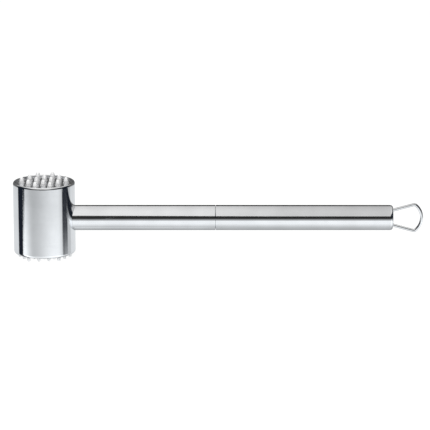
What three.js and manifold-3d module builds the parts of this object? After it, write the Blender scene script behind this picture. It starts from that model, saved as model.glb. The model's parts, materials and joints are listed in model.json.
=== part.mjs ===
// A round-headed meat mallet in polished stainless steel, lying in its working pose: the head stands
// upright on its fine studs, the two-piece tubular handle runs level along +X, and a wire hanging loop
// swings in the open end of the handle.
//
// Millimetres, +Z up. Sizes along the handle are written from the head's axis, and the whole mallet is
// then moved so that the origin lies under the middle of its bounding box, on the plane of the fine tips.

import * as THREE from 'three';
import { mergeVertices } from 'three/addons/utils/BufferGeometryUtils.js';
import Module from 'manifold-3d';

const wasm = await Module();
wasm.setup();

// Running gap between neighbouring pieces.
const GAP = 0.3;

// Overall.
const OVERALL_LENGTH = 300;
const HEAD_RADIUS = 22.6;

// Head, upwards from the plane of the fine tips.
const FINE_PROUD = 4.1;
const BARREL_HEIGHT = 52.8;
const COARSE_PROUD = 3.1;
const BARREL_WALL = 1.9;
const FINE_DEPTH = 0.8;
const COARSE_DEPTH = 1.1;
const FACE_THICKNESS = 5;
const FACE_CHAMFER = 0.25;
const CORE_CHAMFER = 0.6;
const UPPER_LIP = { radial: 1.4, axial: 1.7 };
const LOWER_LIP = { radial: 1.2, axial: 1.8 };
const LIP_INNER_EDGE = 0.25;
const HANDLE_BELOW_MIDDLE = 0.9;

const LOWER_RIM_Z = FINE_PROUD;
const UPPER_RIM_Z = LOWER_RIM_Z + BARREL_HEIGHT;
const HANDLE_Z = LOWER_RIM_Z + BARREL_HEIGHT / 2 - HANDLE_BELOW_MIDDLE;
const BORE_RADIUS = HEAD_RADIUS - BARREL_WALL;
const FILL_RADIUS = BORE_RADIUS - GAP;
const FINE_FLOOR_Z = LOWER_RIM_Z + FINE_DEPTH;
const COARSE_FLOOR_Z = UPPER_RIM_Z - COARSE_DEPTH;
const FINE_RISE = FINE_PROUD + FINE_DEPTH;
const COARSE_RISE = COARSE_PROUD + COARSE_DEPTH;

// Stud fields: rows run along the handle, and neighbouring rows are half a pitch apart.
const COARSE_FIELD = { rows: [2, 3, 4, 3, 2], pitch: 10.77, rowPitch: 7.9 };
const FINE_FIELD = { rows: [4, 5, 6, 5, 4], pitch: 7.33, rowPitch: 6.65 };
const COARSE_STUD = { shank: 2.3, waist: 1.75, nose: 1.4, tip: 0.6 };
const FINE_STUD = { shank: 1.65, waist: 1.35, nose: 1.1, tip: 0.5 };

// Neck joint, along X from the head's axis.
const NOSE_RADIUS = 6;
const NOSE_START = 19.1;
const SPOTFACE_X = 17.5;
const TAPPED_RADIUS = 4.3;
const THREAD_RADIUS = 4;
const STUD_START = 5.3;
const STUD_END = 40.7;
const STUD_CHAMFER = 0.8;
const PLUG_END = 46;
const WASHER = { bore: 4.4, radius: 5.7, start: 17.8, end: 18.8, split: 1.2 };

// Handle.
const HANDLE_RADIUS = 9.25;
const TUBE_BORE = 8.1;
const SEAM_X = 125.3;
const SEAM_WIDTH = 0.3;
const SEAM_CHAMFER = 0.3;
const HANDLE_END = 255.2;
const MOUTH_RADIUS = 7.4;
const MOUTH_LIP = 1.8;
const MOUTH_ROUND = { radial: 1.7, axial: 2.2 };
const MOUTH_INNER_EDGE = 0.2;
const INSERT_RADIUS = TUBE_BORE - GAP;
const SPIGOT = { bore: 5.6, reach: 18, chamfer: 0.8 };

// Hanging loop and the cup that it is hooked into.
const WIRE_RADIUS = 1.15;
const PIVOT_X = HANDLE_END - 4.5;
const HOOK_REACH = 7.5;
const LEG_SPREAD_AT_MOUTH = 5.65;
const LEG_ANGLE = THREE.MathUtils.degToRad(15);
const BOW_RADIUS = 12.2;
const BOW_CENTRE_X = OVERALL_LENGTH - HEAD_RADIUS - WIRE_RADIUS - BOW_RADIUS;
const HOOK_BEND = 1.6;
const CORNER_BEND = 1.4;
const CUP = { bore: 7.0, start: 243, end: 253.1, floor: 1.5 };

// Facets round the circle.
const HEAD_FACETS = 64;
const TUBE_FACETS = 40;
const HOLE_FACETS = 24;
const STUD_FACETS = 8;
const WIRE_FACETS = 8;
const WIRE_STEPS = 72;

// ---- Outlines and solids ---------------------------------------------------------------------------

// Turns a list of [radius, height] pairs round the Z axis. The list goes up the outside and down the
// inside, and it starts and ends on the axis or closes on itself.
function turned(outline, facets) {
  const points = outline.map(([radius, height]) => new THREE.Vector2(radius, height));
  return new THREE.LatheGeometry(points, facets).rotateX(Math.PI / 2);
}

// The same, with the axis laid along X at the height of the handle.
function turnedAlongHandle(outline, facets) {
  return turned(outline, facets).rotateY(Math.PI / 2).translate(0, 0, HANDLE_Z);
}

function ring(bore, radius, low, high) {
  return [[bore, low], [radius, low], [radius, high], [bore, high], [bore, low]];
}

function rod(radius, low, high) {
  return [[0, low], [radius, low], [radius, high], [0, high]];
}

function chamferedRod(radius, low, high, chamfer) {
  return [
    [0, low],
    [radius - chamfer, low],
    [radius, low + chamfer],
    [radius, high - chamfer],
    [radius - chamfer, high],
    [0, high],
  ];
}

// Quarter of an ellipse about (radius, height), from angle `from` to angle `to` in degrees.
function quarter(radius, height, radial, axial, from, to, steps) {
  return Array.from({ length: steps + 1 }, (_, i) => {
    const angle = THREE.MathUtils.degToRad(from + ((to - from) * i) / steps);
    return [radius + radial * Math.cos(angle), height + axial * Math.sin(angle)];
  });
}

// A BufferGeometry as a manifold solid: shared vertices merged, slivers at the poles dropped.
function toSolid(geometry) {
  const bare = geometry.clone();
  bare.deleteAttribute('normal');
  bare.deleteAttribute('uv');
  const merged = mergeVertices(bare, 1e-4);
  const corners = merged.index.array;
  const kept = [];
  for (let i = 0; i < corners.length; i += 3) {
    const [a, b, c] = corners.slice(i, i + 3);
    if (a !== b && b !== c && c !== a) {
      kept.push(a, b, c);
    }
  }
  return new wasm.Manifold(new wasm.Mesh({
    numProp: 3,
    vertProperties: Float32Array.from(merged.attributes.position.array),
    triVerts: Uint32Array.from(kept),
  }));
}

function toGeometry(solid) {
  const mesh = solid.getMesh();
  const geometry = new THREE.BufferGeometry();
  geometry.setAttribute('position', new THREE.BufferAttribute(Float32Array.from(mesh.vertProperties), 3));
  geometry.setIndex(new THREE.BufferAttribute(Uint32Array.from(mesh.triVerts), 1));
  geometry.computeVertexNormals();
  return geometry;
}

function cut(geometry, ...tools) {
  const left = tools.reduce((solid, tool) => solid.subtract(toSolid(tool)), toSolid(geometry));
  return toGeometry(left);
}

function join(first, second) {
  return toGeometry(toSolid(first).add(toSolid(second)));
}

// ---- The mallet and its pieces ---------------------------------------------------------------------

const mallet = new THREE.Group();
mallet.name = 'meat_mallet';
mallet.position.x = HEAD_RADIUS - OVERALL_LENGTH / 2;

function addPiece(name, geometry, finish) {
  const piece = new THREE.Mesh(geometry, new THREE.MeshStandardMaterial(finish));
  piece.name = name;
  mallet.add(piece);
  return piece;
}

const POLISHED = { color: 0xd3d6da, roughness: 0.12, metalness: 1 };
const STUD_POLISH = { color: 0xe2e4e8, roughness: 0.08, metalness: 1 };
const MACHINED = { color: 0xa6a9ad, roughness: 0.45, metalness: 1 };

// The envelope of the barrel with a running gap, for saddle cuts.
function barrelEnvelope() {
  return turned(rod(HEAD_RADIUS + GAP, -1, UPPER_RIM_Z + 1), HEAD_FACETS);
}

// Sleeve with rounded lips and a round window for the neck joint.
function headBarrel() {
  const lowerCrown = HEAD_RADIUS - LOWER_LIP.radial;
  const upperCrown = HEAD_RADIUS - UPPER_LIP.radial;
  const outline = [
    ...quarter(lowerCrown, LOWER_RIM_Z + LOWER_LIP.axial, LOWER_LIP.radial, LOWER_LIP.axial, -90, 0, 4),
    ...quarter(upperCrown, UPPER_RIM_Z - UPPER_LIP.axial, UPPER_LIP.radial, UPPER_LIP.axial, 0, 90, 4),
    [BORE_RADIUS + LIP_INNER_EDGE, UPPER_RIM_Z],
    [BORE_RADIUS, UPPER_RIM_Z - LIP_INNER_EDGE],
    [BORE_RADIUS, LOWER_RIM_Z + LIP_INNER_EDGE],
    [BORE_RADIUS + LIP_INNER_EDGE, LOWER_RIM_Z],
    [lowerCrown, LOWER_RIM_Z],
  ];
  const window = turnedAlongHandle(rod(NOSE_RADIUS + GAP, BORE_RADIUS - 5, HEAD_RADIUS + 5), HOLE_FACETS);
  return cut(turned(outline, HEAD_FACETS), window);
}

// Steel weight that backs both faces, with a spotface and a tapped hole for the neck stud.
function headCore() {
  const low = FINE_FLOOR_Z + FACE_THICKNESS + GAP;
  const high = COARSE_FLOOR_Z - FACE_THICKNESS - GAP;
  const body = turned(chamferedRod(FILL_RADIUS, low, high, CORE_CHAMFER), HEAD_FACETS);
  const spotface = turnedAlongHandle(rod(NOSE_RADIUS + GAP, SPOTFACE_X, HEAD_RADIUS), HOLE_FACETS);
  const tapping = turnedAlongHandle(rod(TAPPED_RADIUS, STUD_START - GAP, HEAD_RADIUS), HOLE_FACETS);
  return cut(body, spotface, tapping);
}

// Where each stud of a field stands on its face.
function studPlaces({ rows, pitch, rowPitch }) {
  const middle = (rows.length - 1) / 2;
  return rows.flatMap((count, row) => Array.from({ length: count }, (_, i) => ({
    x: (i - (count - 1) / 2) * pitch,
    y: (row - middle) * rowPitch,
  })));
}

// Disc drilled right through for its studs.
function facePlate(low, field, shank) {
  const disc = turned(chamferedRod(FILL_RADIUS, low, low + FACE_THICKNESS, FACE_CHAMFER), HEAD_FACETS);
  const drills = studPlaces(field).map(({ x, y }) => (
    turned(rod(shank + GAP, low - 1, low + FACE_THICKNESS + 1), STUD_FACETS).translate(x, y, 0)
  ));
  return cut(disc, ...drills);
}

// Turned stud: shank in the face, a foot that flares out and a rounded nose. It stands on its shank's end
// at z = 0, and `rise` is how far it rises above its face.
function stud({ shank, waist, nose, tip }, rise) {
  const outline = [
    [0, 0],
    [shank, 0],
    [shank, FACE_THICKNESS],
    [waist + 0.35 * (shank - waist), FACE_THICKNESS + 0.12 * rise],
    [waist, FACE_THICKNESS + 0.36 * rise],
    [nose, FACE_THICKNESS + 0.74 * rise],
    [0.5 * (nose + tip), FACE_THICKNESS + 0.94 * rise],
    [tip, FACE_THICKNESS + rise],
    [0, FACE_THICKNESS + rise],
  ];
  return turned(outline, STUD_FACETS);
}

// Front tube of the handle, its end cut to sit on the barrel.
function neckTube() {
  const end = SEAM_X - SEAM_WIDTH / 2;
  const start = HEAD_RADIUS - BARREL_WALL;
  const outline = [
    [TUBE_BORE, start],
    [HANDLE_RADIUS, start],
    [HANDLE_RADIUS, end - SEAM_CHAMFER],
    [HANDLE_RADIUS - SEAM_CHAMFER, end],
    [TUBE_BORE, end],
    [TUBE_BORE, start],
  ];
  return cut(turnedAlongHandle(outline, TUBE_FACETS), barrelEnvelope());
}

// Plug fixed in the front of the neck tube. Its nose passes through the barrel's window to the core.
function neckPlug() {
  const body = cut(
    turnedAlongHandle(rod(INSERT_RADIUS, HEAD_RADIUS - BARREL_WALL, PLUG_END), TUBE_FACETS),
    barrelEnvelope(),
  );
  const nose = turnedAlongHandle(rod(NOSE_RADIUS, NOSE_START, HEAD_RADIUS + 4), HOLE_FACETS);
  const tapping = turnedAlongHandle(rod(TAPPED_RADIUS, NOSE_START - 1, STUD_END + GAP), HOLE_FACETS);
  return cut(join(body, nose), tapping);
}

// Threaded rod that draws the plug against the core, plain at its thread's outer diameter.
function neckStud() {
  return turnedAlongHandle(chamferedRod(THREAD_RADIUS, STUD_START, STUD_END, STUD_CHAMFER), HOLE_FACETS);
}

// Split spring washer between the spotface and the plug's nose.
function neckLockWasher() {
  const washer = turnedAlongHandle(ring(WASHER.bore, WASHER.radius, WASHER.start, WASHER.end), HOLE_FACETS);
  const slit = new THREE.BoxGeometry(2 * (WASHER.end - WASHER.start), WASHER.split, WASHER.radius);
  slit.translate(WASHER.start, 0, HANDLE_Z + WASHER.radius);
  return cut(washer, slit);
}

// Rear tube of the handle, its mouth turned in to a rounded lip.
function gripTube() {
  const start = SEAM_X + SEAM_WIDTH / 2;
  const lipStart = HANDLE_END - MOUTH_LIP;
  const crown = HANDLE_RADIUS - MOUTH_ROUND.radial;
  const outline = [
    [TUBE_BORE, start],
    [HANDLE_RADIUS - SEAM_CHAMFER, start],
    [HANDLE_RADIUS, start + SEAM_CHAMFER],
    ...quarter(crown, HANDLE_END - MOUTH_ROUND.axial, MOUTH_ROUND.radial, MOUTH_ROUND.axial, 0, 90, 5),
    [MOUTH_RADIUS, HANDLE_END - MOUTH_INNER_EDGE],
    [MOUTH_RADIUS, lipStart],
    [TUBE_BORE, lipStart],
    [TUBE_BORE, start],
  ];
  return turnedAlongHandle(outline, TUBE_FACETS);
}

// Sleeve inside both tubes that carries the handle across its seam.
function couplingSpigot() {
  const start = SEAM_X - SPIGOT.reach;
  const end = SEAM_X + SPIGOT.reach;
  const outline = [
    [SPIGOT.bore, start],
    [INSERT_RADIUS - SPIGOT.chamfer, start],
    [INSERT_RADIUS, start + SPIGOT.chamfer],
    [INSERT_RADIUS, end - SPIGOT.chamfer],
    [INSERT_RADIUS - SPIGOT.chamfer, end],
    [SPIGOT.bore, end],
    [SPIGOT.bore, start],
  ];
  return turnedAlongHandle(outline, TUBE_FACETS);
}

// Cup held behind the mouth's lip, drilled across for the loop's two hooks.
function endCup() {
  const outline = [
    [0, CUP.start],
    [INSERT_RADIUS, CUP.start],
    [INSERT_RADIUS, CUP.end],
    [CUP.bore, CUP.end],
    [CUP.bore, CUP.start + CUP.floor],
    [0, CUP.start + CUP.floor],
  ];
  const holeRadius = WIRE_RADIUS + GAP;
  const drill = new THREE.CylinderGeometry(holeRadius, holeRadius, 3 * TUBE_BORE, HOLE_FACETS);
  drill.rotateX(Math.PI / 2).translate(PIVOT_X, 0, HANDLE_Z);
  return cut(turnedAlongHandle(outline, TUBE_FACETS), drill);
}

// ---- Hanging loop ----------------------------------------------------------------------------------

// Centre line of the wire in the XZ plane, with z measured from the handle's axis. It runs from one
// hook's end through the bow to the other: hook, bend, leg, corner, bow, and the same again in reverse.
function wirePath() {
  const turn = Math.PI / 2 + LEG_ANGLE;
  const bendReach = HOOK_BEND * Math.tan(turn / 2);
  const legAtPivot = LEG_SPREAD_AT_MOUTH - (HANDLE_END - PIVOT_X) * Math.tan(LEG_ANGLE);
  const bendX = PIVOT_X + HOOK_BEND;
  const bendZ = legAtPivot + bendReach;
  const legOffset = (BOW_CENTRE_X - HANDLE_END) * Math.sin(LEG_ANGLE)
    + LEG_SPREAD_AT_MOUTH * Math.cos(LEG_ANGLE);
  const inner = BOW_RADIUS - CORNER_BEND;
  const bowHalf = LEG_ANGLE + Math.asin((legOffset - CORNER_BEND) / inner);
  const cornerX = BOW_CENTRE_X + inner * Math.cos(bowHalf);
  const cornerZ = inner * Math.sin(bowHalf);
  return new THREE.Path()
    .moveTo(PIVOT_X, HOOK_REACH)
    .absarc(bendX, bendZ, HOOK_BEND, Math.PI, Math.PI + turn, false)
    .absarc(cornerX, cornerZ, CORNER_BEND, turn, bowHalf, true)
    .absarc(BOW_CENTRE_X, 0, BOW_RADIUS, bowHalf, -bowHalf, true)
    .absarc(cornerX, -cornerZ, CORNER_BEND, -bowHalf, -turn, true)
    .absarc(bendX, -bendZ, HOOK_BEND, -Math.PI - turn, -Math.PI, false)
    .lineTo(PIVOT_X, -HOOK_REACH);
}

// A flat path stood up in the XZ plane at the height of the handle.
class StandingCurve extends THREE.Curve {
  constructor(path) {
    super();
    this.path = path;
  }

  getPoint(t, target = new THREE.Vector3()) {
    const { x, y } = this.path.getPointAt(t);
    return target.set(x, 0, HANDLE_Z + y);
  }
}

function hangingLoop() {
  const section = new THREE.Shape().absarc(0, 0, WIRE_RADIUS, 0, 2 * Math.PI, false);
  return new THREE.ExtrudeGeometry(section, {
    extrudePath: new StandingCurve(wirePath()),
    steps: WIRE_STEPS,
    curveSegments: WIRE_FACETS / 2,
    bevelEnabled: false,
  });
}

// ---- Assembly --------------------------------------------------------------------------------------

addPiece('head_barrel', headBarrel(), POLISHED);
addPiece('head_core', headCore(), MACHINED);
addPiece(
  'coarse_face',
  facePlate(COARSE_FLOOR_Z - FACE_THICKNESS, COARSE_FIELD, COARSE_STUD.shank),
  POLISHED,
);
addPiece('fine_face', facePlate(FINE_FLOOR_Z, FINE_FIELD, FINE_STUD.shank), POLISHED);

studPlaces(COARSE_FIELD).forEach(({ x, y }, i) => {
  const piece = addPiece(`coarse_stud_${i + 1}`, stud(COARSE_STUD, COARSE_RISE), STUD_POLISH);
  piece.position.set(x, y, COARSE_FLOOR_Z - FACE_THICKNESS);
});

studPlaces(FINE_FIELD).forEach(({ x, y }, i) => {
  const piece = addPiece(`fine_stud_${i + 1}`, stud(FINE_STUD, FINE_RISE), STUD_POLISH);
  piece.position.set(x, y, FINE_FLOOR_Z + FACE_THICKNESS);
  piece.rotation.x = Math.PI;
});

addPiece('neck_tube', neckTube(), POLISHED);
addPiece('neck_plug', neckPlug(), MACHINED);
addPiece('neck_lock_washer', neckLockWasher(), MACHINED);
addPiece('neck_stud', neckStud(), MACHINED);
addPiece('coupling_spigot', couplingSpigot(), MACHINED);
addPiece('grip_tube', gripTube(), POLISHED);
addPiece('end_cup', endCup(), MACHINED);
addPiece('hanging_loop', hangingLoop(), POLISHED);

export default mallet;
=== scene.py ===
"""A polished steel meat mallet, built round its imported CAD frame.

Every visible piece is a smooth mesh turned or swept to the frame's own sizes. Lengths are in metres, in
the frame's axes: +X from the head along the handle, +Z up the head, the fine stud tips at z = 0.
"""

import json
import math

import bmesh
import bpy
from mathutils import Matrix, Vector


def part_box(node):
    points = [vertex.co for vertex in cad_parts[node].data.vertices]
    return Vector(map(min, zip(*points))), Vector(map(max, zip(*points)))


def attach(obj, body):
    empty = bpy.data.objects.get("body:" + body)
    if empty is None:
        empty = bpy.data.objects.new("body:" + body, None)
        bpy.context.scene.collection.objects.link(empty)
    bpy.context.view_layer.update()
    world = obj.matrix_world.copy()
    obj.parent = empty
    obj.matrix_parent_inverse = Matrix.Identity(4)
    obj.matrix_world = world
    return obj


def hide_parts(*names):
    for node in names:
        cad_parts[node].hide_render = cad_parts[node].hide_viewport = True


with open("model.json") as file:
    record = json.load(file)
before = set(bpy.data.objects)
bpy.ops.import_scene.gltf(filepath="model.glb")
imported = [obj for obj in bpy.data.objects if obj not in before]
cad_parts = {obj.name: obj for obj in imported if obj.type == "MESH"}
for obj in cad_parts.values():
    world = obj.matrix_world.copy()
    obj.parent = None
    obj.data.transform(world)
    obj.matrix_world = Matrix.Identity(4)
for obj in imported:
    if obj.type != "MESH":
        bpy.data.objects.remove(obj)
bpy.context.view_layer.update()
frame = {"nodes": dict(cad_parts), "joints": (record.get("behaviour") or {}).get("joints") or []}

MM = 0.001

# ---- Sizes read from the frame -----------------------------------------------------------------------

barrel_low, barrel_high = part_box("head_barrel")
coarse_plate_low, coarse_plate_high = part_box("coarse_face")
fine_plate_low, fine_plate_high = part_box("fine_face")
neck_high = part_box("neck_tube")[1]
grip_low, grip_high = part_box("grip_tube")
spigot_low, spigot_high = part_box("coupling_spigot")
cup_low, cup_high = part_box("end_cup")
loop_low, loop_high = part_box("hanging_loop")

HEAD_X = (barrel_low.x + barrel_high.x) / 2
HEAD_RADIUS = (barrel_high.y - barrel_low.y) / 2
LOWER_RIM_Z = barrel_low.z
UPPER_RIM_Z = barrel_high.z
COARSE_FLOOR_Z = coarse_plate_high.z
FINE_FLOOR_Z = fine_plate_low.z
COARSE_NODES = sorted(n for n in frame["nodes"] if n.startswith("coarse_stud"))
FINE_NODES = sorted(n for n in frame["nodes"] if n.startswith("fine_stud"))

HANDLE_RADIUS = (grip_high.y - grip_low.y) / 2
HANDLE_Z = (grip_low.z + grip_high.z) / 2
SEAM_X = (neck_high.x + grip_low.x) / 2
HANDLE_END = grip_high.x
SPIGOT_RADIUS = (spigot_high.y - spigot_low.y) / 2
CUP_RADIUS = (cup_high.y - cup_low.y) / 2

loop_swing = next(j for j in frame["joints"] if j["name"] == "loop_swing")
PIVOT_X = loop_swing["pos_m"][0]
WIRE_RADIUS = (loop_high.y - loop_low.y) / 2
LOOP_END = loop_high.x

# ---- Sizes of the finished surfaces ------------------------------------------------------------------

BARREL_WALL = 1.9 * MM
JOINT_LINE = 0.05 * MM
LOWER_LIP_RADIAL = 1.2 * MM
LOWER_LIP_AXIAL = 1.8 * MM
UPPER_LIP_RADIAL = 1.2 * MM
UPPER_LIP_AXIAL = 1.7 * MM
LOWER_LIP_INNER = 0.5 * MM
UPPER_LIP_INNER = 1.0 * MM
PLATE_EDGE = 0.15 * MM
WINDOW_RADIUS = 6.3 * MM
WINDOW_BAND = 0.6 * MM
WINDOW_CLEARANCE = 3 * MM
DRILL_CLEARANCE = 1 * MM

TUBE_BORE = 8.1 * MM
SEAM_HALF = 0.06 * MM
SEAM_ROUND = 0.35 * MM
MOUTH_RADIUS = 7.4 * MM
MOUTH_LIP = 1.8 * MM
MOUTH_ROUND_RADIAL = 1.7 * MM
MOUTH_ROUND_AXIAL = 2.2 * MM
MOUTH_INNER_EDGE = 0.2 * MM
SPIGOT_BORE = 5.6 * MM
SPIGOT_CHAMFER = 0.8 * MM
CUP_BORE = 7.0 * MM
CUP_FLOOR = 1.5 * MM
CUP_EDGE = 0.2 * MM
CUP_FILLET = 0.8 * MM
CUP_HOLE_RADIUS = WIRE_RADIUS + 0.3 * MM

STUD_COLLAR = 0.14 * MM
COARSE_STUD = {"nose": 1.72 * MM, "nose_start": 1.25 * MM, "tip_flat": 0.4 * MM}
FINE_STUD = {"nose": 1.35 * MM, "nose_start": 1.5 * MM, "tip_flat": 0.35 * MM}
FLARE_POWER = 1.75

HOOK_REACH = 7.5 * MM
LEG_SPREAD_AT_MOUTH = 5.65 * MM
LEG_ANGLE = math.radians(15)
BOW_RADIUS = 12.2 * MM
HOOK_BEND = 1.6 * MM
CORNER_BEND = 1.4 * MM
WIRE_STEP = 0.3 * MM
WIRE_END_ROUND = 0.3 * MM

HEAD_SEGMENTS = 256
TUBE_SEGMENTS = 160
STUD_SEGMENTS = 40
WIRE_SEGMENTS = 28
ROUND_STEPS = 14
HOLE_SEGMENTS = 64
SHARP_ANGLE = math.radians(32)
HOLD = 0.03 * MM
SHORTEST_HELD = 20 * HOLD


# ---- Meshes ------------------------------------------------------------------------------------------

def quarter(radius, height, radial, axial, start, end, steps=ROUND_STEPS):
    """Part of an ellipse about (radius, height), from one angle to another in degrees."""
    points = []
    for i in range(steps + 1):
        angle = math.radians(start + (end - start) * i / steps)
        points.append((radius + radial * math.cos(angle), height + axial * math.sin(angle)))
    return points


def held(profile, closed=True):
    """The profile with a point close to each end of its long straights, so that they shade flat."""
    count = len(profile)
    points = []
    for i, start in enumerate(profile):
        points.append(start)
        if i == count - 1 and not closed:
            break
        end = profile[(i + 1) % count]
        run = Vector(end) - Vector(start)
        if run.length > SHORTEST_HELD:
            step = run.normalized() * HOLD
            points.append(tuple(Vector(start) + step))
            points.append(tuple(Vector(end) - step))
    return points


def lathe(profile, segments, closed=True):
    """Vertices and faces of a profile of (radius, height) pairs turned round Z.

    An open profile starts and ends on the axis, where its ring is one vertex."""
    vertices = []
    rings = []
    for radius, height in profile:
        if radius < 1e-9:
            rings.append([len(vertices)] * segments)
            vertices.append(Vector((0, 0, height)))
            continue
        first = len(vertices)
        for k in range(segments):
            angle = 2 * math.pi * k / segments
            vertices.append(Vector((radius * math.cos(angle), radius * math.sin(angle), height)))
        rings.append(list(range(first, first + segments)))
    faces = []
    spans = len(rings) if closed else len(rings) - 1
    for i in range(spans):
        low, high = rings[i], rings[(i + 1) % len(rings)]
        for k in range(segments):
            after = (k + 1) % segments
            corners = [low[k], low[after], high[after], high[k]]
            faces.append(list(dict.fromkeys(corners)))
    return vertices, faces


def upright(x, y, z=0.0):
    return Matrix.Translation((x, y, z))


def along_handle():
    """Puts the lathe's axis on the handle's, so that a height becomes a place along X."""
    return Matrix.Translation((0, 0, HANDLE_Z)) @ Matrix.Rotation(math.pi / 2, 4, "Y")


def make_object(name, vertices, faces):
    mesh = bpy.data.meshes.new(name)
    mesh.from_pydata([tuple(v) for v in vertices], [], faces)
    tidy = bmesh.new()
    tidy.from_mesh(mesh)
    bmesh.ops.recalc_face_normals(tidy, faces=tidy.faces)
    tidy.to_mesh(mesh)
    tidy.free()
    thing = bpy.data.objects.new(name, mesh)
    bpy.context.scene.collection.objects.link(thing)
    return thing


def smooth(piece):
    piece.data.shade_smooth()
    piece.data.set_sharp_from_angle(angle=SHARP_ANGLE)


def turned(name, profile, segments, place, closed=True):
    vertices, faces = lathe(held(profile, closed), segments, closed)
    piece = make_object(name, [place @ v for v in vertices], faces)
    smooth(piece)
    return piece


def drilled(piece, cutters):
    """Cuts the cutters out of the piece and removes them."""
    for cutter in cutters:
        cutting = piece.modifiers.new("cut", "BOOLEAN")
        cutting.operation = "DIFFERENCE"
        cutting.solver = "EXACT"
        cutting.object = cutter
    bpy.context.view_layer.update()
    graph = bpy.context.evaluated_depsgraph_get()
    cut_mesh = bpy.data.meshes.new_from_object(piece.evaluated_get(graph))
    piece.modifiers.clear()
    piece.data = cut_mesh
    cut_mesh.name = piece.name
    for cutter in cutters:
        bpy.data.objects.remove(cutter)
    smooth(piece)
    return piece


def rod(name, radius, low, high, place, segments=HOLE_SEGMENTS):
    profile = [(0, low), (radius, low), (radius, high), (0, high)]
    return turned(name, profile, segments, place, closed=False)


# ---- Head --------------------------------------------------------------------------------------------

def head_barrel():
    """Sleeve with rounded lips. Its window for the neck joint is under the neck tube's end."""
    bore = HEAD_RADIUS - BARREL_WALL
    lower_crown = HEAD_RADIUS - LOWER_LIP_RADIAL
    upper_crown = HEAD_RADIUS - UPPER_LIP_RADIAL
    outline = quarter(
        lower_crown, LOWER_RIM_Z + LOWER_LIP_AXIAL, LOWER_LIP_RADIAL, LOWER_LIP_AXIAL, -90, 0
    )
    outline += [(HEAD_RADIUS, HANDLE_Z - WINDOW_RADIUS - WINDOW_BAND)]
    outline += [(HEAD_RADIUS, HANDLE_Z + WINDOW_RADIUS + WINDOW_BAND)]
    outline += quarter(
        upper_crown, UPPER_RIM_Z - UPPER_LIP_AXIAL, UPPER_LIP_RADIAL, UPPER_LIP_AXIAL, 0, 90
    )
    outline += quarter(
        upper_crown, UPPER_RIM_Z - UPPER_LIP_INNER, upper_crown - bore, UPPER_LIP_INNER, 90, 180
    )[1:]
    outline += quarter(
        lower_crown, LOWER_RIM_Z + LOWER_LIP_INNER, lower_crown - bore, LOWER_LIP_INNER, 180, 270
    )[:-1]
    barrel = turned("head_barrel_polished", outline, HEAD_SEGMENTS, upright(HEAD_X, 0))
    window_start = HEAD_X + bore - WINDOW_CLEARANCE
    window_end = HEAD_X + HEAD_RADIUS + WINDOW_CLEARANCE
    window = rod("window", WINDOW_RADIUS, window_start, window_end, along_handle())
    return drilled(barrel, [window])


def stud_place(node):
    low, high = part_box(node)
    return (low.x + high.x) / 2, (low.y + high.y) / 2


def shank_radius(node):
    low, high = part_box(node)
    return (high.x - low.x) / 2


def face_plate(name, low, high, nodes):
    """Disc drilled for its studs, with a fine joint line round each stud and round the disc."""
    radius = HEAD_RADIUS - BARREL_WALL - JOINT_LINE
    outline = [
        (0, low),
        (radius - PLATE_EDGE, low),
        (radius, low + PLATE_EDGE),
        (radius, high - PLATE_EDGE),
        (radius - PLATE_EDGE, high),
        (0, high),
    ]
    plate = turned(name, outline, HEAD_SEGMENTS, upright(HEAD_X, 0), closed=False)
    bore = shank_radius(nodes[0]) + JOINT_LINE
    drills = []
    for i, node in enumerate(nodes):
        place = upright(*stud_place(node))
        drills.append(rod(f"drill_{i}", bore, low - DRILL_CLEARANCE, high + DRILL_CLEARANCE, place))
    return drilled(plate, drills)


def stud_outline(shank, depth, rise, nose, nose_start, tip_flat):
    """Shank, collar, flared foot and rounded nose, upwards from the shank's end at 0."""
    outline = [(0, 0), (shank, 0), (shank, depth + STUD_COLLAR)]
    foot = shank - 0.5 * STUD_COLLAR
    for i in range(ROUND_STEPS):
        height = STUD_COLLAR + (nose_start - STUD_COLLAR) * i / ROUND_STEPS
        flare = ((nose_start - height) / (nose_start - STUD_COLLAR)) ** FLARE_POWER
        outline.append((nose + (foot - nose) * flare, depth + height))
    outline += quarter(
        tip_flat, depth + nose_start, nose - tip_flat, rise - nose_start, 0, 90, 2 * ROUND_STEPS
    )
    outline.append((0, depth + rise))
    return outline


def studs(nodes, floor_z, sizes, points_up):
    """One piece for each stud of a field, where the frame has it."""
    made = []
    for node in nodes:
        low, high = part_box(node)
        rise = high.z - floor_z if points_up else floor_z - low.z
        depth = high.z - low.z - rise
        outline = stud_outline(shank_radius(node), depth, rise, **sizes)
        x, y = stud_place(node)
        place = upright(x, y, low.z)
        if not points_up:
            place = upright(x, y, high.z) @ Matrix.Rotation(math.pi, 4, "X")
        made.append(turned(f"{node}_turned", outline, STUD_SEGMENTS, place, closed=False))
    return made


# ---- Handle ------------------------------------------------------------------------------------------

def seam_edge(x, towards):
    """Rounded edge of a tube at the seam. `towards` is the way along X from the seam to the tube."""
    centre = x + towards * SEAM_ROUND
    start, end = (0, 90) if towards < 0 else (-90, 0)
    return quarter(HANDLE_RADIUS - SEAM_ROUND, centre, SEAM_ROUND, SEAM_ROUND, start, end)


def neck_tube():
    """Front tube of the handle. Its front end is shaped to sit on the barrel."""
    start = HEAD_X + HEAD_RADIUS
    end = SEAM_X - SEAM_HALF
    outline = [(HANDLE_RADIUS, start)]
    outline += seam_edge(end, -1)
    outline += [(TUBE_BORE, end), (TUBE_BORE, start)]
    vertices, faces = lathe(held(outline), TUBE_SEGMENTS)
    placed = [along_handle() @ v for v in vertices]
    seat = HEAD_RADIUS + JOINT_LINE
    for v in placed:
        if v.x < start + 2 * HOLD:
            v.x += HEAD_X + math.sqrt(seat ** 2 - v.y ** 2) - start
    piece = make_object("neck_tube_polished", placed, faces)
    smooth(piece)
    return piece


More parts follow.
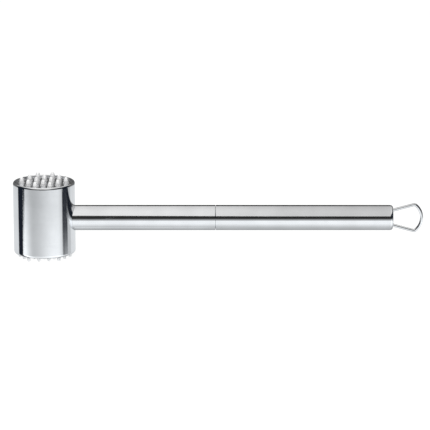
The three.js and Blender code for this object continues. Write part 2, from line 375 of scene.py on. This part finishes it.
def grip_tube():
    """Rear tube of the handle, its mouth turned in to a rounded lip."""
    start = SEAM_X + SEAM_HALF
    crown = HANDLE_RADIUS - MOUTH_ROUND_RADIAL
    lip_start = HANDLE_END - MOUTH_LIP
    outline = [(TUBE_BORE, start)]
    outline += seam_edge(start, 1)
    outline += quarter(
        crown, HANDLE_END - MOUTH_ROUND_AXIAL, MOUTH_ROUND_RADIAL, MOUTH_ROUND_AXIAL, 0, 90
    )
    outline += quarter(
        crown, HANDLE_END - MOUTH_INNER_EDGE, crown - MOUTH_RADIUS, MOUTH_INNER_EDGE, 90, 180
    )[1:]
    outline += [(MOUTH_RADIUS, lip_start), (TUBE_BORE, lip_start)]
    return turned("grip_tube_polished", outline, TUBE_SEGMENTS, along_handle())


def coupling_spigot():
    """Sleeve inside both tubes, seen at the bottom of the seam."""
    outline = [
        (SPIGOT_BORE, spigot_low.x),
        (SPIGOT_RADIUS - SPIGOT_CHAMFER, spigot_low.x),
        (SPIGOT_RADIUS, spigot_low.x + SPIGOT_CHAMFER),
        (SPIGOT_RADIUS, spigot_high.x - SPIGOT_CHAMFER),
        (SPIGOT_RADIUS - SPIGOT_CHAMFER, spigot_high.x),
        (SPIGOT_BORE, spigot_high.x),
    ]
    return turned("coupling_spigot_turned", outline, TUBE_SEGMENTS, along_handle())


def end_cup():
    """Cup behind the mouth, drilled across for the loop's hooks."""
    floor = cup_low.x + CUP_FLOOR
    outline = [
        (0, cup_low.x),
        (CUP_RADIUS - CUP_EDGE, cup_low.x),
        (CUP_RADIUS, cup_low.x + CUP_EDGE),
        (CUP_RADIUS, cup_high.x - CUP_EDGE),
        (CUP_RADIUS - CUP_EDGE, cup_high.x),
        (CUP_BORE + CUP_EDGE, cup_high.x),
        (CUP_BORE, cup_high.x - CUP_EDGE),
    ]
    outline += quarter(CUP_BORE - CUP_FILLET, floor + CUP_FILLET, CUP_FILLET, CUP_FILLET, 0, -90)
    outline += [(0, floor)]
    cup = turned("end_cup_turned", outline, TUBE_SEGMENTS, along_handle(), closed=False)
    reach = 2 * CUP_RADIUS
    drill = rod("cup_drill", CUP_HOLE_RADIUS, HANDLE_Z - reach, HANDLE_Z + reach, upright(PIVOT_X, 0))
    return drilled(cup, [drill])


# ---- Hanging loop ------------------------------------------------------------------------------------

def arc(centre, radius, start, end):
    """Points on a circle, from angle `start` to `end`, about a wire step apart."""
    steps = max(6, round(abs(end - start) * radius / WIRE_STEP))
    return [
        Vector((
            centre[0] + radius * math.cos(start + (end - start) * i / steps),
            centre[1] + radius * math.sin(start + (end - start) * i / steps),
        ))
        for i in range(steps + 1)
    ]


def wire_path():
    """Upper half of the wire's centre line in the XZ plane from a hook's end to the bow's middle, then
    its mirror image. z is measured from the handle's axis."""
    turn = math.pi / 2 + LEG_ANGLE
    bow_x = LOOP_END - WIRE_RADIUS - BOW_RADIUS
    leg_at_pivot = LEG_SPREAD_AT_MOUTH - (HANDLE_END - PIVOT_X) * math.tan(LEG_ANGLE)
    bend = (PIVOT_X + HOOK_BEND, leg_at_pivot + HOOK_BEND * math.tan(turn / 2))
    leg_offset = (bow_x - HANDLE_END) * math.sin(LEG_ANGLE) + LEG_SPREAD_AT_MOUTH * math.cos(LEG_ANGLE)
    inner = BOW_RADIUS - CORNER_BEND
    bow_half = LEG_ANGLE + math.asin((leg_offset - CORNER_BEND) / inner)
    corner = (bow_x + inner * math.cos(bow_half), inner * math.sin(bow_half))
    half = [Vector((PIVOT_X, HOOK_REACH))]
    half += arc(bend, HOOK_BEND, math.pi, math.pi + turn)
    half += arc(corner, CORNER_BEND, turn, bow_half)
    half += arc((bow_x, 0), BOW_RADIUS, bow_half, 0)[1:]
    return half + [Vector((p.x, -p.y)) for p in reversed(half[:-1])]


def spaced(path):
    """The path again, with points about a wire step apart on its straights too."""
    points = [path[0]]
    for start, end in zip(path, path[1:]):
        steps = max(1, round((end - start).length / WIRE_STEP))
        points += [start.lerp(end, i / steps) for i in range(1, steps + 1)]
    return points


def hanging_loop():
    """Round wire swept along the path, its two ends slightly rounded."""
    path = spaced(wire_path())
    last = len(path) - 1
    vertices = []
    for i, point in enumerate(path):
        way = (path[min(i + 1, last)] - path[max(i - 1, 0)]).normalized()
        across = Vector((-way.y, way.x))
        radius = WIRE_RADIUS - (WIRE_END_ROUND if i in (0, last) else 0)
        for k in range(WIRE_SEGMENTS):
            angle = 2 * math.pi * k / WIRE_SEGMENTS
            side = across * radius * math.cos(angle)
            vertices.append(Vector((
                point.x + side.x,
                radius * math.sin(angle),
                HANDLE_Z + point.y + side.y,
            )))
    faces = []
    for i in range(last):
        for k in range(WIRE_SEGMENTS):
            after = (k + 1) % WIRE_SEGMENTS
            row, above = i * WIRE_SEGMENTS, (i + 1) * WIRE_SEGMENTS
            faces.append([row + k, row + after, above + after, above + k])
    faces.append(list(range(WIRE_SEGMENTS)))
    faces.append(list(range(last * WIRE_SEGMENTS, (last + 1) * WIRE_SEGMENTS)))
    piece = make_object("hanging_loop_wire", vertices, faces)
    smooth(piece)
    return piece


# ---- Materials ---------------------------------------------------------------------------------------

class Graph:
    """Short forms for building a node tree."""

    def __init__(self, tree):
        self.tree = tree
        tree.nodes.clear()

    def node(self, kind, inputs=None, **settings):
        made = self.tree.nodes.new(kind)
        for key, value in settings.items():
            setattr(made, key, value)
        for key, value in (inputs or {}).items():
            self.feed(made.inputs[key], value)
        return made

    def feed(self, socket, value):
        if isinstance(value, bpy.types.NodeSocket):
            self.tree.links.new(value, socket)
        else:
            socket.default_value = value

    def math(self, operation, *values):
        made = self.tree.nodes.new("ShaderNodeMath")
        made.operation = operation
        for socket, value in zip(made.inputs, values):
            self.feed(socket, value)
        return made.outputs[0]

    def chained(self, operation, first, *others):
        for other in others:
            first = self.math(operation, first, other)
        return first

    def product(self, *values):
        return self.chained("MULTIPLY", *values)

    def total(self, *values):
        return self.chained("ADD", *values)

    def largest(self, *values):
        return self.chained("MAXIMUM", *values)

    def remap(self, value, low, high, to_low=0.0, to_high=1.0):
        """A smooth step from to_low at low to to_high at high."""
        made = self.node("ShaderNodeMapRange", {
            "Value": value, "From Min": low, "From Max": high, "To Min": to_low, "To Max": to_high,
        }, interpolation_type="SMOOTHSTEP")
        return made.outputs[0]

    def window(self, value, rise, fall, height=1.0):
        """A smooth rise from 0 to 1 over the span `rise`, and a smooth fall to 0 over the span `fall`."""
        return self.product(self.remap(value, *rise), self.remap(value, *fall, 0.0, height))

    def noise(self, vector, scale, detail=2.0, roughness=0.5):
        made = self.node("ShaderNodeTexNoise", {
            "Vector": vector, "Scale": scale, "Detail": detail, "Roughness": roughness,
        })
        return made.outputs[0]

    def split(self, vector):
        return self.node("ShaderNodeSeparateXYZ", {"Vector": vector}).outputs

    def joined(self, x, y, z):
        return self.node("ShaderNodeCombineXYZ", {"X": x, "Y": y, "Z": z}).outputs[0]

    def blend(self, factor, low, high):
        made = self.node("ShaderNodeMix", data_type="RGBA")
        self.feed(made.inputs[0], factor)
        self.feed(made.inputs[6], low)
        self.feed(made.inputs[7], high)
        return made.outputs[2]

    def ramp(self, value, low, high, stops):
        """A brightness that runs through (place, brightness) stops, for a value between low and high."""
        made = self.node("ShaderNodeValToRGB", {"Fac": self.node("ShaderNodeMapRange", {
            "Value": value, "From Min": low, "From Max": high,
        }).outputs[0]})
        elements = made.color_ramp.elements
        while len(elements) < len(stops):
            elements.new(0.5)
        for element, (place, brightness) in zip(elements, stops):
            element.position = (place - low) / (high - low)
            element.color = (brightness, brightness, brightness, 1)
        return made.outputs[0]


def new_graph(owner):
    """An empty node tree for a material or a world."""
    owner.use_nodes = True
    return Graph(owner.node_tree)


def turning_coordinates(graph, place, lengthwise):
    """Object coordinates as an angle, a place along and a radius, of the handle's axis or the head's."""
    x, side, z = graph.split(place)
    if lengthwise:
        across, along = graph.math("SUBTRACT", z, HANDLE_Z), x
    else:
        across, along = graph.math("SUBTRACT", x, HEAD_X), z
    squares = graph.total(graph.product(across, across), graph.product(side, side))
    return {
        "angle": graph.math("ARCTAN2", side, across),
        "along": along,
        "radius": graph.math("SQRT", squares),
    }


# Scales of the marks: per metre, and per radian for an angle.
WHEEL_ALONG_HANDLE = {"along": 9.0, "angle": 14.0, "radius": 400.0}
WHEEL_ROUND_HEAD = {"angle": 0.35, "along": 1500.0, "radius": 1500.0}
SMEAR_SCALE = 55.0
SPECKLE_SCALE = 900.0
HAIRLINE_SCALE = (90.0, 2600.0, 160.0)
HAIRLINE_TURN = (0.5, 0.9, 0.3)

# What each kind of mark adds to the tone, the roughness and the relief.
DARK_SHARE = 0.93
LIGHT_SHARE = 1.03
TONE_SHARES = {"wheel": 0.2, "smears": 0.8}
ROUGHNESS_SHARES = {"smears": 0.02, "wheel": 0.03, "hairline": 0.12, "wear": 0.3}
RELIEF_SHARES = {"wheel": 0.6, "hairline": -0.5, "speckle": 0.1}
BUMP_STRENGTH = 0.25
BUMP_DEPTH = 0.004 * MM

# Distances from a stud's tip: over the first span the wear fades out, over the second the foot darkens with
# painted shade, standing for the shade between the studs.
WEAR_SPAN = (0.1 * MM, 0.9 * MM)
PAINTED_SHADE_SPAN = (2.3 * MM, 3.5 * MM)
PAINTED_FOOT_SHADE = 0.58


def wheel_marks(graph, place, lengthwise):
    """Streaks of the polishing wheel, along the handle or round the head."""
    coordinates = turning_coordinates(graph, place, lengthwise)
    scales = WHEEL_ALONG_HANDLE if lengthwise else WHEEL_ROUND_HEAD
    stretched = graph.joined(*(graph.product(coordinates[name], scale) for name, scale in scales.items()))
    return graph.noise(stretched, 1.0, detail=4.0, roughness=0.65)


def hairline_marks(graph, place):
    """A few fine scratches, all one way."""
    drawn_out = graph.node("ShaderNodeMapping", {
        "Vector": place, "Rotation": HAIRLINE_TURN, "Scale": HAIRLINE_SCALE,
    }).outputs[0]
    return graph.remap(graph.noise(drawn_out, 1.0, detail=1.0), 0.70, 0.78)


def opaque(tone, share):
    """The tone, darker or lighter by share, with its alpha."""
    return tuple(min(1.0, share * c) for c in tone) + (1,)


def steel(name, tone, roughness, lengthwise=False, marks=0.4, mirror=1.0, tips_for_wear_and_shade=None):
    """Stainless steel: fine marks left by the wheel, faint hand smears and hairlines.

    marks is how strongly the wheel's marks show, mirror how much of the light is reflected and not
    scattered. The tip heights given last are where use dulls the tips; below them the feet are darkened
    in colour, a painted shade that stands for the shade between the studs."""
    material = bpy.data.materials.new(name)
    graph = new_graph(material)
    place = graph.node("ShaderNodeTexCoord").outputs["Object"]
    wheel = wheel_marks(graph, place, lengthwise)
    smears = graph.noise(place, SMEAR_SCALE, detail=3.0, roughness=0.55)
    speckle = graph.noise(place, SPECKLE_SCALE)
    hairline = hairline_marks(graph, place)

    shade = graph.total(
        graph.product(wheel, TONE_SHARES["wheel"]), graph.product(smears, TONE_SHARES["smears"])
    )
    colour = graph.blend(graph.remap(shade, 0.3, 0.7), opaque(tone, DARK_SHARE), opaque(tone, LIGHT_SHARE))
    rough = graph.total(
        roughness,
        graph.product(graph.remap(smears, 0.35, 0.75), ROUGHNESS_SHARES["smears"]),
        graph.product(wheel, ROUGHNESS_SHARES["wheel"] * marks),
        graph.product(hairline, ROUGHNESS_SHARES["hairline"]),
    )
    if tips_for_wear_and_shade:
        height = graph.split(place)[2]
        from_tips = [graph.math("ABSOLUTE", graph.math("SUBTRACT", height, tip)) for tip in tips_for_wear_and_shade]
        from_tip = graph.math("MINIMUM", *from_tips)
        wear = graph.remap(from_tip, *WEAR_SPAN, 1.0, 0.0)
        rough = graph.total(rough, graph.product(wear, speckle, ROUGHNESS_SHARES["wear"]))
        # Painted shade: the stud feet are darkened in colour, standing for the shade that neighbouring
        # studs cast.
        foot = graph.remap(from_tip, *PAINTED_SHADE_SPAN)
        colour = graph.blend(foot, colour, opaque(tone, PAINTED_FOOT_SHADE))

    relief = graph.total(
        graph.product(wheel, RELIEF_SHARES["wheel"] * marks),
        graph.product(hairline, RELIEF_SHARES["hairline"]),
        graph.product(speckle, RELIEF_SHARES["speckle"]),
    )
    bump = graph.node("ShaderNodeBump", {
        "Strength": BUMP_STRENGTH, "Distance": BUMP_DEPTH, "Height": relief,
    })
    shader = graph.node("ShaderNodeBsdfPrincipled", {
        "Base Color": colour, "Metallic": mirror, "Roughness": rough, "Normal": bump.outputs[0],
    })
    graph.node("ShaderNodeOutputMaterial", {"Surface": shader.outputs[0]})
    return material


HEAD_TONE = (0.80, 0.81, 0.83)
STUD_TONE = (0.97, 0.97, 0.98)
HANDLE_TONE = (0.79, 0.80, 0.82)
INNER_TONE = (0.60, 0.61, 0.63)

TIP_HEIGHTS = (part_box(FINE_NODES[0])[0].z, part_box(COARSE_NODES[0])[1].z)

# The discs between the studs are the head's steel, less finely polished. The inner steel is plainly turned.
head_steel = steel("head_steel", HEAD_TONE, 0.06, marks=0.15)
face_steel = steel("face_steel", HEAD_TONE, 0.20)
stud_steel = steel("stud_steel", STUD_TONE, 0.40, marks=0.2, mirror=0.3, tips_for_wear_and_shade=TIP_HEIGHTS)
handle_steel = steel("handle_steel", HANDLE_TONE, 0.07, lengthwise=True)
wire_steel = steel("wire_steel", HEAD_TONE, 0.12, lengthwise=True, marks=0.2)
inner_steel = steel("machined_steel", INNER_TONE, 0.34, marks=1.0)


# ---- The mallet --------------------------------------------------------------------------------------

def place_piece(piece, body, slot, material, *nodes):
    """Gives the piece its finish and its body, and hides the CAD nodes that it stands for."""
    piece.data.materials.clear()
    piece.data.materials.append(material)
    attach(piece, body)
    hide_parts(*nodes)


place_piece(head_barrel(), "mallet", "head_steel", head_steel, "head_barrel")
coarse_plate = face_plate("coarse_face_polished", coarse_plate_low.z, COARSE_FLOOR_Z, COARSE_NODES)
place_piece(coarse_plate, "mallet", "head_steel", face_steel, "coarse_face")
fine_plate = face_plate("fine_face_polished", FINE_FLOOR_Z, fine_plate_high.z, FINE_NODES)
place_piece(fine_plate, "mallet", "head_steel", face_steel, "fine_face")
for stud_node, stud_piece in zip(COARSE_NODES, studs(COARSE_NODES, COARSE_FLOOR_Z, COARSE_STUD, True)):
    place_piece(stud_piece, "mallet", "stud_steel", stud_steel, stud_node)
for stud_node, stud_piece in zip(FINE_NODES, studs(FINE_NODES, FINE_FLOOR_Z, FINE_STUD, False)):
    place_piece(stud_piece, "mallet", "stud_steel", stud_steel, stud_node)
place_piece(neck_tube(), "mallet", "handle_steel", handle_steel, "neck_tube")
place_piece(grip_tube(), "mallet", "handle_steel", handle_steel, "grip_tube")
place_piece(coupling_spigot(), "mallet", "machined_steel", inner_steel, "coupling_spigot")
place_piece(end_cup(), "mallet", "machined_steel", inner_steel, "end_cup")
place_piece(hanging_loop(), "loop", "wire_steel", wire_steel, "hanging_loop")
for inner_node in ("head_core", "neck_plug", "neck_lock_washer", "neck_stud"):
    inner_part = frame["nodes"][inner_node]
    inner_part.data.materials.clear()
    inner_part.data.materials.append(inner_steel)


# ---- Studio ------------------------------------------------------------------------------------------

FLOOR_RADIUS = 9.5
FLOOR_PAINT = (0.2, 0.2, 0.2, 1)
FLOOR_GLOW = 0.92
DOME_RADIUS = 9.0
DOME_GLOW = 1.05
DOME_BELOW = -20
ROUND_SIDES = 64

CARD_HEIGHT = 0.38
CARD_OUTLINE = [
    (-0.34, -0.42), (-0.20, -0.47), (-0.10, -0.59), (0.06, -0.75), (0.22, -0.75),
    (0.22, 0.43), (-0.34, 0.52),
]
CARD_GLOW = 0.97
FRONT_LIGHT_PLACE = Vector((-0.20, -0.80, 0.48))
FRONT_LIGHT_SIZE = 0.5
FRONT_LIGHT_WATTS = 6.6

CAMERA_ELEVATION = math.radians(13.9)
CAMERA_DISTANCE = 1.9
FRAME_WIDTH = 0.3149
AIM = Vector((-2.45 * MM, 0, HANDLE_Z + 1.95 * MM))
SENSOR = 36.0

WHITE = (1, 1, 1, 1)
WARM_WHITE = (1.0, 0.995, 0.98, 1)
COOL_WHITE = (0.965, 0.99, 1.0, 1)
FLAG_BLACK = (0.014, 0.018, 0.027, 1)

# How bright the studio is at each elevation in degrees, in front of the mallet and behind it.
FRONT_BRIGHTNESS = [
    (-90, 0.66), (-62, 1.00), (-42, 1.28), (-24, 1.20), (-16.5, 1.09), (-12.8, 0.62), (-9, 0.48),
    (-4, 0.33), (4, 0.035), (27, 0.022), (33, 0.80), (60, 0.96), (90, 0.88),
]
REAR_BRIGHTNESS = [
    (-90, 0.66), (-75, 0.58), (-50, 0.36), (-32, 0.72), (-16, 0.84), (-13.4, 0.87), (-10.4, 0.30),
    (-8, 0.04), (34, 0.022), (42, 0.60), (60, 0.66), (90, 0.88),
]


def plain_face(name, corners):
    thing = make_object(name, [Vector(c) for c in corners], [list(range(len(corners)))])
    return thing


def glowing(name, colour, strength_of):
    """A material that gives off light, as strong as strength_of(graph) works out."""
    material = bpy.data.materials.new(name)
    graph = new_graph(material)
    light = graph.node("ShaderNodeEmission", {"Color": colour, "Strength": strength_of(graph)})
    graph.node("ShaderNodeOutputMaterial", {"Surface": light.outputs[0]})
    return material


def hide_from(thing, *rays):
    for ray in rays:
        setattr(thing, f"visible_{ray}", False)


def make_floor():
    """White sweep under the mallet. Most of its light is its own, so contact shadows stay faint."""
    corners = []
    for k in range(ROUND_SIDES):
        angle = 2 * math.pi * k / ROUND_SIDES
        corners.append((FLOOR_RADIUS * math.cos(angle), FLOOR_RADIUS * math.sin(angle), 0))
    floor = plain_face("studio_floor", corners)
    material = bpy.data.materials.new("studio_floor")
    graph = new_graph(material)
    paper = graph.node("ShaderNodeBsdfDiffuse", {"Color": FLOOR_PAINT})
    glow = graph.node("ShaderNodeEmission", {"Color": WHITE, "Strength": FLOOR_GLOW})
    both = graph.node("ShaderNodeAddShader")
    graph.feed(both.inputs[0], paper.outputs[0])
    graph.feed(both.inputs[1], glow.outputs[0])
    graph.node("ShaderNodeOutputMaterial", {"Surface": both.outputs[0]})
    floor.data.materials.append(material)
    hide_from(floor, "glossy", "diffuse")


def make_backdrop():
    """White dome behind everything, for views near the horizon."""
    profile = quarter(0, 0, DOME_RADIUS, DOME_RADIUS, DOME_BELOW, 90, 24)
    profile[-1] = (0, DOME_RADIUS)
    vertices, faces = lathe([(0, profile[0][1])] + profile, ROUND_SIDES, closed=False)
    dome = make_object("studio_backdrop", vertices, faces)
    dome.data.materials.append(glowing("studio_backdrop", WHITE, lambda graph: DOME_GLOW))
    hide_from(dome, "glossy", "diffuse", "shadow", "transmission", "volume_scatter")


def card_strength(graph):
    """Brighter towards the head, and towards the front."""
    x, y, _ = graph.split(graph.node("ShaderNodeTexCoord").outputs["Object"])
    along = graph.remap(x, -0.05, 0.10, 1.0, 0.76)
    towards_back = graph.remap(y, -0.2, 0.5, 1.0, 0.78)
    return graph.product(along, towards_back, CARD_GLOW)


def make_overhead_card():
    """Long light over the handle, seen only in reflections."""
    card = plain_face("overhead_card", [(x, y, CARD_HEIGHT) for x, y in CARD_OUTLINE])
    card.data.materials.append(glowing("overhead_card", WARM_WHITE, card_strength))
    hide_from(card, "camera", "diffuse", "shadow", "transmission", "volume_scatter")


def make_front_light():
    """Soft light from the front left. It falls on what scatters light, and no mirror shows it."""
    data = bpy.data.lights.new("front_light", "AREA")
    data.shape = "DISK"
    data.size = FRONT_LIGHT_SIZE
    data.energy = FRONT_LIGHT_WATTS
    light = bpy.data.objects.new("front_light", data)
    bpy.context.scene.collection.objects.link(light)
    light.location = FRONT_LIGHT_PLACE
    light.rotation_euler = FRONT_LIGHT_PLACE.to_track_quat("Z", "Y").to_euler()
    hide_from(light, "camera", "glossy")


class Direction:
    """A direction in the studio: x and y, x without its sign (aside), and in degrees its elevation and
    its azimuth from straight in front. low goes from 0 to 1 about 14 degrees below the horizon."""

    def __init__(self, graph):
        self.x, self.y, z = graph.split(graph.node("ShaderNodeTexCoord").outputs["Generated"])
        self.aside = graph.math("ABSOLUTE", self.x)
        self.elevation = graph.math("DEGREES", graph.math("ARCSINE", z))
        forward = graph.product(self.y, -1.0)
        self.azimuth = graph.math("DEGREES", graph.math("ARCTAN2", self.x, forward))
        self.low = graph.remap(self.elevation, -13.3, -14.6)


def brightness_in_front(graph, way):
    """Bright from the floor, dark from the horizon up to the tent's roof, and paler low at the sides."""
    middle = graph.ramp(way.elevation, -90, 90, FRONT_BRIGHTNESS)
    sides = graph.product(graph.remap(way.elevation, 3, -6), graph.remap(way.aside, 0.10, 0.25, 0.0, 0.55))
    return graph.largest(middle, sides)


def brightness_behind(graph, way):
    """Away from the middle, the dark band behind ends lower and is less black."""
    lift = graph.product(graph.remap(way.aside, 0.05, 0.40, 0.0, 10.0), graph.remap(way.elevation, 0, 15))
    middle = graph.ramp(graph.total(lift, way.elevation), -90, 90, REAR_BRIGHTNESS)
    off_centre = graph.remap(way.aside, 0.02, 0.10, 0.0, 0.16)
    sides = graph.product(graph.remap(way.elevation, 3, -6), graph.remap(way.aside, 0.50, 0.75, 0.0, 0.50))
    return graph.largest(middle, off_centre, sides)


def floor_light(graph, way, facing):
    """Share of the light that the floor in front gives: it grows to the right, with a bright patch at
    the far left and a dim one at the far right. It is 1 above the horizon and behind."""
    right_end = graph.remap(way.elevation, -34, -17, 1.08, 1.34)
    to_right = graph.remap(way.x, -0.65, 0.75, 0.79, right_end)
    past_right = graph.remap(way.x, 0.80, 0.98, 0.0, -0.40)
    near_left = graph.remap(way.azimuth, -38, -84, 0.0, 0.85)
    near_left = graph.product(near_left, graph.total(graph.product(way.low, 0.6), 0.4))
    change = graph.total(to_right, past_right, near_left, -1.0)
    in_front_below = graph.product(facing, graph.remap(way.elevation, -2, -10))
    return graph.total(1.0, graph.product(in_front_below, change))


def left_flag(graph, way):
    """Tall dark card on the left, narrower near the floor."""
    near_edge = graph.math("SUBTRACT", -73.0, graph.product(way.low, 12.0))
    from_edge = graph.math("SUBTRACT", near_edge, way.azimuth)
    across = graph.product(graph.remap(way.azimuth, -111.5, -107.5), graph.remap(from_edge, 0.0, 1.5))
    return graph.product(across, graph.window(way.elevation, (-62, -52), (26, 20)))


def right_flags(graph, way):
    """Dark card on the right, with a thin one and a wide pale one that reach further down. The wide pale
    one is a painted shadow: it stands for the handle's shadow on the floor as the head reflects it.
    """
    upper = graph.window(way.azimuth, (71.5, 76.5), (102, 98))
    upper = graph.product(upper, graph.remap(way.elevation, -15.3, -14.2))
    thin = graph.window(way.azimuth, (74, 79.5), (90, 84), 0.6)
    # Painted shadow: the handle's shadow on the floor, put into the studio's light as a faint grey band.
    handle_shadow_band = graph.window(way.azimuth, (80, 86), (121, 116), 0.25)
    lower = graph.product(graph.largest(thin, handle_shadow_band), graph.remap(way.elevation, -24, -20))
    return graph.largest(upper, lower)


def dark_walls(graph, way):
    """Unlit ends of the studio, above the horizon."""
    right = graph.product(graph.remap(way.x, 0.20, 0.30), graph.remap(way.y, 0.55, 0.35))
    right = graph.product(right, graph.remap(way.elevation, 46, 34))
    left = graph.product(graph.remap(way.x, -0.58, -0.70), graph.remap(way.y, 0.50, 0.30))
    left = graph.product(left, graph.remap(way.elevation, 46, 36))
    return graph.product(graph.remap(way.elevation, 0, 10), graph.largest(right, left))


def make_world():
    """Light tent: pale above and below, dark round the horizon, with dark flags on each side."""
    world = bpy.data.worlds.new("studio")
    bpy.context.scene.world = world
    graph = new_graph(world)
    way = Direction(graph)
    facing = graph.remap(way.y, 0.35, -0.35)
    around = graph.blend(facing, brightness_behind(graph, way), brightness_in_front(graph, way))
    tint = graph.blend(graph.remap(way.elevation, -6, 25), COOL_WHITE, WARM_WHITE)
    lit = graph.node("ShaderNodeMix", data_type="RGBA", blend_type="MULTIPLY")
    for place, value in ((0, 1.0), (6, around), (7, tint)):
        graph.feed(lit.inputs[place], value)

    flags = graph.largest(left_flag(graph, way), right_flags(graph, way))
    flags = graph.product(flags, graph.remap(way.elevation, 36, 30))
    dark = graph.largest(flags, dark_walls(graph, way))
    background = graph.node("ShaderNodeBackground", {
        "Color": graph.blend(dark, lit.outputs[2], FLAG_BLACK),
        "Strength": graph.blend(dark, floor_light(graph, way, facing), WHITE),
    })
    graph.node("ShaderNodeOutputWorld", {"Surface": background.outputs[0]})


def make_camera():
    """Long lens, a little above the mallet and square to its handle."""
    data = bpy.data.cameras.new("photo_camera")
    data.sensor_width = SENSOR
    data.lens = SENSOR * CAMERA_DISTANCE / FRAME_WIDTH
    camera = bpy.data.objects.new("photo_camera", data)
    bpy.context.scene.collection.objects.link(camera)
    back = Vector((0, -math.cos(CAMERA_ELEVATION), math.sin(CAMERA_ELEVATION)))
    camera.location = AIM + back * CAMERA_DISTANCE
    camera.rotation_euler = (-back).to_track_quat("-Z", "Y").to_euler()
    bpy.context.scene.camera = camera


make_floor()
make_backdrop()
make_overhead_card()
make_front_light()
make_world()
make_camera()
bpy.context.scene.view_settings.view_transform = "Standard"
